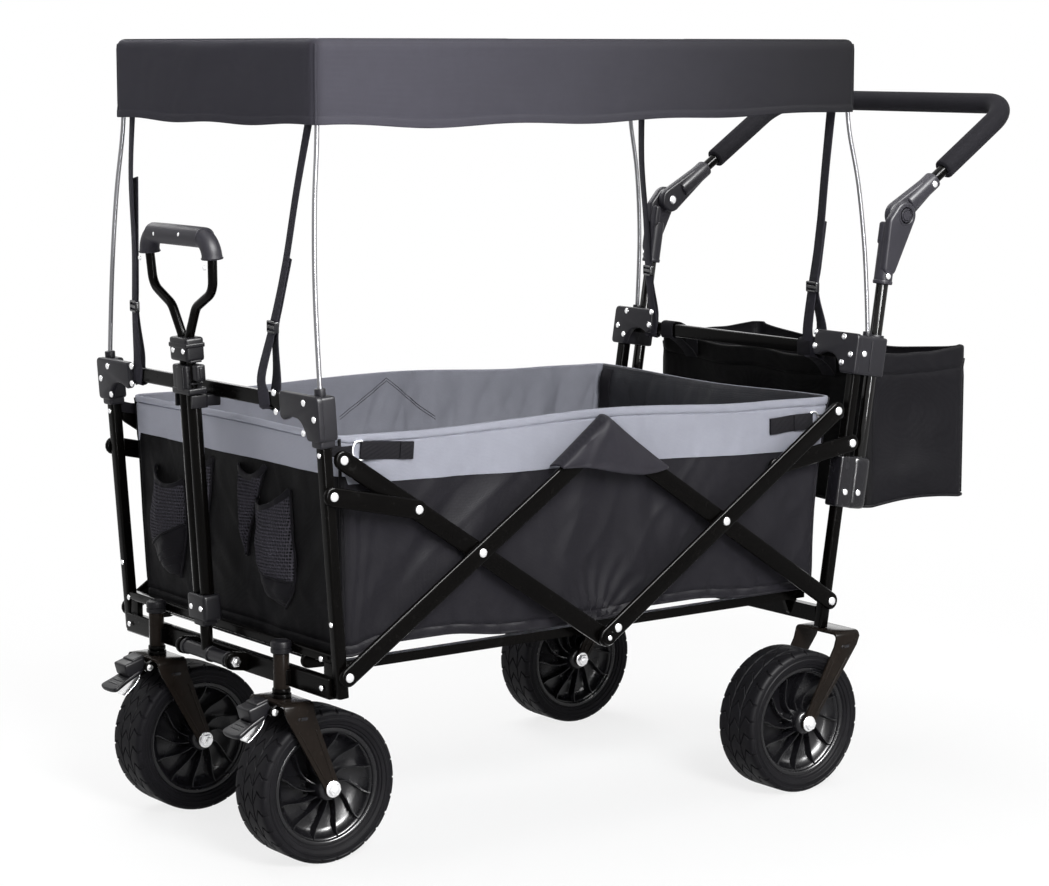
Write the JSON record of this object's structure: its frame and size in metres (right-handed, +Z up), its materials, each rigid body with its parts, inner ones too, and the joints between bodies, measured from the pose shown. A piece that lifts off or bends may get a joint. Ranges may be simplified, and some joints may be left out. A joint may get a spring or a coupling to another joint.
{
  "type": "folding wagon",
  "caption": "Folding utility wagon with scissor-linked sides, a canopy on rods, swivel casters with brakes, a telescoping pull handle, a tilting push bar and a rear bag.",
  "frame": {"origin": "on the floor at the middle of the footprint", "axes": "+Z up, +X towards the push bar, -Y the wagon's left side"},
  "size_m": [1.2502, 0.6014, 1.014],
  "materials": {
    "black_powder_coat": "gloss black powder coat",
    "dark_plastic": "satin moulded",
    "tyre_rubber": "matte with a block tread",
    "grip_foam": "matte foam",
    "canopy_rod_steel": "satin rod",
    "black_fabric": "woven polyester",
    "grey_fabric": "woven polyester, a grey band above black sides"
  },
  "bodies": {
    "front_frame": {"front_post_left": "black_powder_coat", "front_post_right": "black_powder_coat", "front_bracket_left": "dark_plastic", "front_bracket_right": "dark_plastic", "front_crossbar": "black_powder_coat", "front_lower_frame": "black_powder_coat", "canopy_hoop_front": "canopy_rod_steel", "body_fabric": "grey_fabric", "canopy": "black_fabric"},
    "bar_a_left": {"bar_a_left": "black_powder_coat"},
    "bar_b_left": {"bar_b_left": "black_powder_coat"},
    "bar_c_left": {"bar_c_left": "black_powder_coat"},
    "bar_d_left": {"bar_d_left": "black_powder_coat"},
    "bar_a_right": {"bar_a_right": "black_powder_coat"},
    "bar_b_right": {"bar_b_right": "black_powder_coat"},
    "bar_c_right": {"bar_c_right": "black_powder_coat"},
    "bar_d_right": {"bar_d_right": "black_powder_coat"},
    "rear_frame": {"rear_post_left": "black_powder_coat", "rear_post_right": "black_powder_coat", "rear_bracket_left": "dark_plastic", "rear_bracket_right": "dark_plastic", "rear_crossbar": "black_powder_coat", "rear_lower_rail": "black_powder_coat", "rear_fork_left": "black_powder_coat", "rear_fork_right": "black_powder_coat", "pole_sleeve_left": "dark_plastic", "pole_sleeve_right": "dark_plastic", "canopy_hoop_rear": "canopy_rod_steel", "rear_bag": "black_fabric"},
    "link_front_left": {"link_front_left": "black_powder_coat"},
    "link_rear_left": {"link_rear_left": "black_powder_coat"},
    "link_front_right": {"link_front_right": "black_powder_coat"},
    "link_rear_right": {"link_rear_right": "black_powder_coat"},
    "floor_front": {"floor_frame_front": "black_powder_coat"},
    "floor_rear": {"floor_frame_rear": "black_powder_coat"},
    "caster_left": {"caster_fork_left": "black_powder_coat"},
    "brake_pedal_left": {"brake_pedal_left": "dark_plastic"},
    "wheel_front_left": {"tyre_front_left": "tyre_rubber", "rim_front_left": "dark_plastic"},
    "wheel_rear_left": {"tyre_rear_left": "tyre_rubber", "rim_rear_left": "dark_plastic"},
    "caster_right": {"caster_fork_right": "black_powder_coat"},
    "brake_pedal_right": {"brake_pedal_right": "dark_plastic"},
    "wheel_front_right": {"tyre_front_right": "tyre_rubber", "rim_front_right": "dark_plastic"},
    "wheel_rear_right": {"tyre_rear_right": "tyre_rubber", "rim_rear_right": "dark_plastic"},
    "pull_handle": {"handle_base": "black_powder_coat", "handle_outer_tubes": "black_powder_coat"},
    "handle_loop": {"handle_loop": "black_powder_coat", "handle_grip": "dark_plastic"},
    "handle_release": {"handle_release": "dark_plastic"},
    "push_poles": {"push_pole_left": "black_powder_coat", "push_pole_right": "black_powder_coat", "push_knuckle_left": "dark_plastic", "push_knuckle_right": "dark_plastic"},
    "push_bar": {"push_bar": "black_powder_coat", "push_grip": "grip_foam"},
    "knuckle_button_left": {"knuckle_button_left": "dark_plastic"},
    "knuckle_button_right": {"knuckle_button_right": "dark_plastic"}
  },
  "joints": [
    {"name": "fold_left", "type": "hinge", "parent": "front_frame", "child": "bar_a_left", "pos_m": [-0.52792, -0.2715, 0.254], "axis": [0, -1, 0], "range_deg": [0, 36.5], "deforming": ["body_fabric", "canopy"]},
    {"name": "bar_b_left", "type": "hinge", "parent": "bar_a_left", "child": "bar_b_left", "pos_m": [-0.33092, -0.2635, 0.38525], "axis": [0, 1, 0], "range_deg": [0, 73]},
    {"name": "bar_c_left", "type": "hinge", "parent": "bar_a_left", "child": "bar_c_left", "pos_m": [-0.13392, -0.2635, 0.5165], "axis": [0, 1, 0], "range_deg": [0, 73]},
    {"name": "bar_d_left", "type": "hinge", "parent": "bar_c_left", "child": "bar_d_left", "pos_m": [0.06308, -0.2715, 0.38525], "axis": [0, -1, 0], "range_deg": [0, 73]},
    {"name": "fold_right", "type": "hinge", "parent": "front_frame", "child": "bar_a_right", "pos_m": [-0.52792, 0.2715, 0.254], "axis": [0, -1, 0], "range_deg": [0, 36.5]},
    {"name": "bar_b_right", "type": "hinge", "parent": "bar_a_right", "child": "bar_b_right", "pos_m": [-0.33092, 0.2635, 0.38525], "axis": [0, 1, 0], "range_deg": [0, 73]},
    {"name": "bar_c_right", "type": "hinge", "parent": "bar_a_right", "child": "bar_c_right", "pos_m": [-0.13392, 0.2635, 0.5165], "axis": [0, 1, 0], "range_deg": [0, 73]},
    {"name": "bar_d_right", "type": "hinge", "parent": "bar_c_right", "child": "bar_d_right", "pos_m": [0.06308, 0.2715, 0.38525], "axis": [0, -1, 0], "range_deg": [0, 73]},
    {"name": "rear_frame", "type": "hinge", "parent": "bar_c_left", "child": "rear_frame", "pos_m": [0.26008, 0, 0.254], "axis": [0, -1, 0], "range_deg": [0, 36.5]},
    {"name": "link_front_left", "type": "hinge", "parent": "front_frame", "child": "link_front_left", "pos_m": [-0.5474, -0.2715, 0.47536], "axis": [0, -1, 0], "range_deg": [0, 73.11]},
    {"name": "link_rear_left", "type": "hinge", "parent": "rear_frame", "child": "link_rear_left", "pos_m": [0.29411, -0.2635, 0.46886], "axis": [0, 1, 0], "range_deg": [0, 65.21]},
    {"name": "link_front_right", "type": "hinge", "parent": "front_frame", "child": "link_front_right", "pos_m": [-0.5474, 0.2715, 0.47536], "axis": [0, -1, 0], "range_deg": [0, 73.11]},
    {"name": "link_rear_right", "type": "hinge", "parent": "rear_frame", "child": "link_rear_right", "pos_m": [0.29411, 0.2635, 0.46886], "axis": [0, 1, 0], "range_deg": [0, 65.21]},
    {"name": "floor_front", "type": "hinge", "parent": "front_frame", "child": "floor_front", "pos_m": [-0.51292, 0, 0.261], "axis": [0, -1, 0], "range_deg": [0, 67.43]},
    {"name": "floor_rear", "type": "hinge", "parent": "rear_frame", "child": "floor_rear", "pos_m": [0.24508, 0, 0.261], "axis": [0, 1, 0], "range_deg": [0, 67.43]},
    {"name": "caster_left_swivel", "type": "hinge", "parent": "front_frame", "child": "caster_left", "pos_m": [-0.55092, -0.156, 0.2175], "axis": [0, 0, 1], "continuous": true},
    {"name": "brake_pedal_left", "type": "hinge", "parent": "caster_left", "child": "brake_pedal_left", "pos_m": [-0.57492, -0.156, 0.2], "axis": [0, -1, 0], "range_deg": [0, 16]},
    {"name": "wheel_front_left_spin", "type": "hinge", "parent": "caster_left", "child": "wheel_front_left", "pos_m": [-0.50392, -0.156, 0.097], "axis": [0, 1, 0], "continuous": true},
    {"name": "wheel_rear_left_spin", "type": "hinge", "parent": "rear_frame", "child": "wheel_rear_left", "pos_m": [0.19708, -0.2515, 0.097], "axis": [0, 1, 0], "continuous": true},
    {"name": "caster_right_swivel", "type": "hinge", "parent": "front_frame", "child": "caster_right", "pos_m": [-0.55092, 0.156, 0.2175], "axis": [0, 0, 1], "continuous": true},
    {"name": "brake_pedal_right", "type": "hinge", "parent": "caster_right", "child": "brake_pedal_right", "pos_m": [-0.57492, 0.156, 0.2], "axis": [0, -1, 0], "range_deg": [0, 16]},
    {"name": "wheel_front_right_spin", "type": "hinge", "parent": "caster_right", "child": "wheel_front_right", "pos_m": [-0.50392, 0.156, 0.097], "axis": [0, 1, 0], "continuous": true},
    {"name": "wheel_rear_right_spin", "type": "hinge", "parent": "rear_frame", "child": "wheel_rear_right", "pos_m": [0.19708, 0.2515, 0.097], "axis": [0, 1, 0], "continuous": true},
    {"name": "pull_handle_swing", "type": "hinge", "parent": "front_frame", "child": "pull_handle", "pos_m": [-0.56392, 0, 0.242], "axis": [0, -1, 0], "range_deg": [0, 95]},
    {"name": "pull_handle_extend", "type": "slide", "parent": "pull_handle", "child": "handle_loop", "axis": [-0.0593, 0, 0.9982], "range_m": [0, 0.25]},
    {"name": "handle_release_press", "type": "slide", "parent": "pull_handle", "child": "handle_release", "axis": [0, 1, 0], "range_m": [0, 0.003], "stiffness_N_per_m": 400},
    {"name": "push_bar_raise", "type": "slide", "parent": "rear_frame", "child": "push_poles", "axis": [0.1564, 0, 0.9877], "range_m": [0, 0.1]},
    {"name": "push_bar_tilt", "type": "hinge", "parent": "push_poles", "child": "push_bar", "pos_m": [0.39008, 0, 0.775], "axis": [0, -1, 0], "range_deg": [-55, 40]},
    {"name": "knuckle_button_left", "type": "slide", "parent": "push_poles", "child": "knuckle_button_left", "axis": [0, 1, 0], "range_m": [0, 0.003], "stiffness_N_per_m": 400},
    {"name": "knuckle_button_right", "type": "slide", "parent": "push_poles", "child": "knuckle_button_right", "axis": [0, -1, 0], "range_m": [0, 0.003], "stiffness_N_per_m": 400}
  ],
  "couplings": [
    {"joint": "bar_b_left", "follows": "fold_left", "ratio": 2},
    {"joint": "bar_c_left", "follows": "fold_left", "ratio": 2},
    {"joint": "bar_d_left", "follows": "fold_left", "ratio": 2},
    {"joint": "fold_right", "follows": "fold_left", "ratio": 1},
    {"joint": "bar_b_right", "follows": "fold_left", "ratio": 2},
    {"joint": "bar_c_right", "follows": "fold_left", "ratio": 2},
    {"joint": "bar_d_right", "follows": "fold_left", "ratio": 2},
    {"joint": "rear_frame", "follows": "fold_left", "ratio": 1},
    {"joint": "link_front_left", "follows": "fold_left", "ratio": 2.0027},
    {"joint": "link_rear_left", "follows": "fold_left", "ratio": 1.7862},
    {"joint": "link_front_right", "follows": "fold_left", "ratio": 2.0027},
    {"joint": "link_rear_right", "follows": "fold_left", "ratio": 1.7862},
    {"joint": "floor_front", "follows": "fold_left", "ratio": 1.8469},
    {"joint": "floor_rear", "follows": "fold_left", "ratio": 1.8469}
  ]
}
